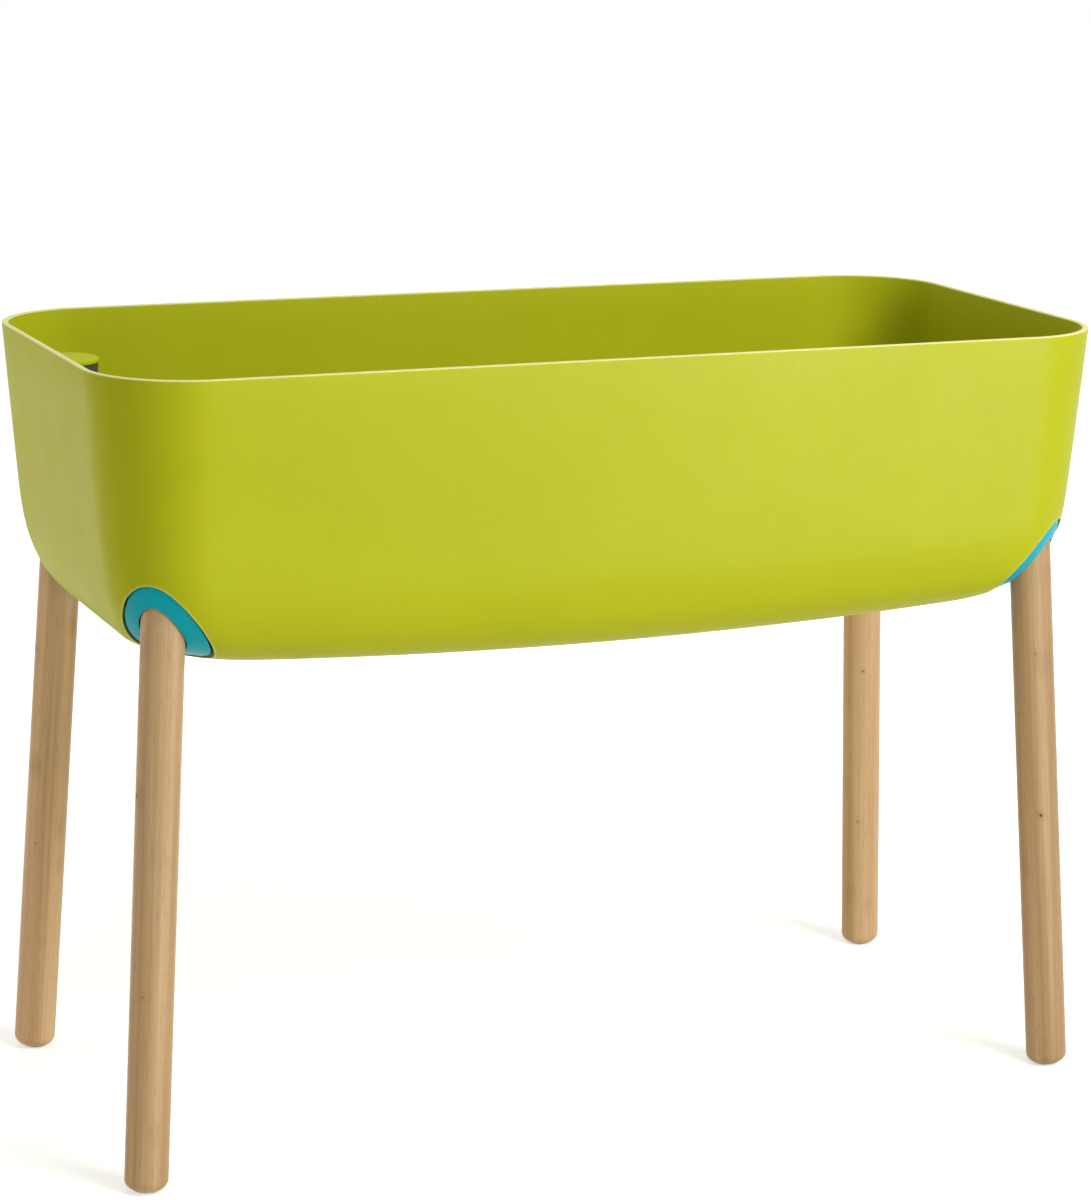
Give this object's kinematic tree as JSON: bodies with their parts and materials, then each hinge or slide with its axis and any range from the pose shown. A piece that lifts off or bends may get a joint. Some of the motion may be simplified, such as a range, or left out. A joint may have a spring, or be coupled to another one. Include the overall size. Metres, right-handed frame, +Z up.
{
  "type": "grow table",
  "caption": "Raised self-watering planter: a deep oblong tub with round corners on splayed round wooden legs set in flush corner sockets.",
  "frame": {"origin": "on the floor, midway between the four feet, under the middle of the tub", "axes": "+X along the tub, -Y towards the front, +Z up"},
  "size_m": [0.7998, 0.3698, 0.595],
  "materials": {
    "tub_lime": "satin moulded plastic",
    "cap_lime": "satin moulded plastic",
    "socket_turquoise": "satin moulded plastic",
    "leg_beech": "sanded, clear matt lacquer",
    "glide_white": "smooth",
    "fastener_steel": "zinc plated",
    "seal_rubber": "matt",
    "reservoir_plastic": "plain moulded plastic",
    "float_red": "smooth"
  },
  "bodies": {
    "root": {"tub": "tub_lime", "leg_front_left": "leg_beech", "leg_front_right": "leg_beech", "leg_rear_left": "leg_beech", "leg_rear_right": "leg_beech", "socket_front_left": "socket_turquoise", "socket_front_right": "socket_turquoise", "socket_rear_left": "socket_turquoise", "socket_rear_right": "socket_turquoise", "glide_front_left": "glide_white", "glide_front_right": "glide_white", "glide_rear_left": "glide_white", "glide_rear_right": "glide_white", "bolt_front_left": "fastener_steel", "bolt_front_right": "fastener_steel", "bolt_rear_left": "fastener_steel", "bolt_rear_right": "fastener_steel", "bolt_seal_front_left": "seal_rubber", "bolt_seal_front_right": "seal_rubber", "bolt_seal_rear_left": "seal_rubber", "bolt_seal_rear_right": "seal_rubber", "bolt_washer_front_left": "fastener_steel", "bolt_washer_front_right": "fastener_steel", "bolt_washer_rear_left": "fastener_steel", "bolt_washer_rear_right": "fastener_steel", "cap_nut_front_left": "fastener_steel", "cap_nut_front_right": "fastener_steel", "cap_nut_rear_left": "fastener_steel", "cap_nut_rear_right": "fastener_steel", "drain_washer": "seal_rubber"},
    "reservoir": {"reservoir_floor": "reservoir_plastic", "wick_basket_left": "reservoir_plastic", "wick_basket_right": "reservoir_plastic", "filler_tube": "reservoir_plastic"},
    "cap": {"filler_cap": "cap_lime"},
    "level_float": {"float": "float_red"},
    "bung": {"drain_bung": "seal_rubber"}
  },
  "joints": [
    {"name": "reservoir_lift", "type": "slide", "parent": "root", "child": "reservoir", "axis": [0, 0, 1], "range_m": [0, 0.225]},
    {"name": "cap_lift", "type": "slide", "parent": "reservoir", "child": "cap", "axis": [0, 0, 1], "range_m": [0, 0.06]},
    {"name": "float_rise", "type": "slide", "parent": "reservoir", "child": "level_float", "axis": [0, 0, 1], "range_m": [0, 0.016]},
    {"name": "bung_pull", "type": "slide", "parent": "root", "child": "bung", "axis": [0, 0, -1], "range_m": [0, 0.03]}
  ]
}
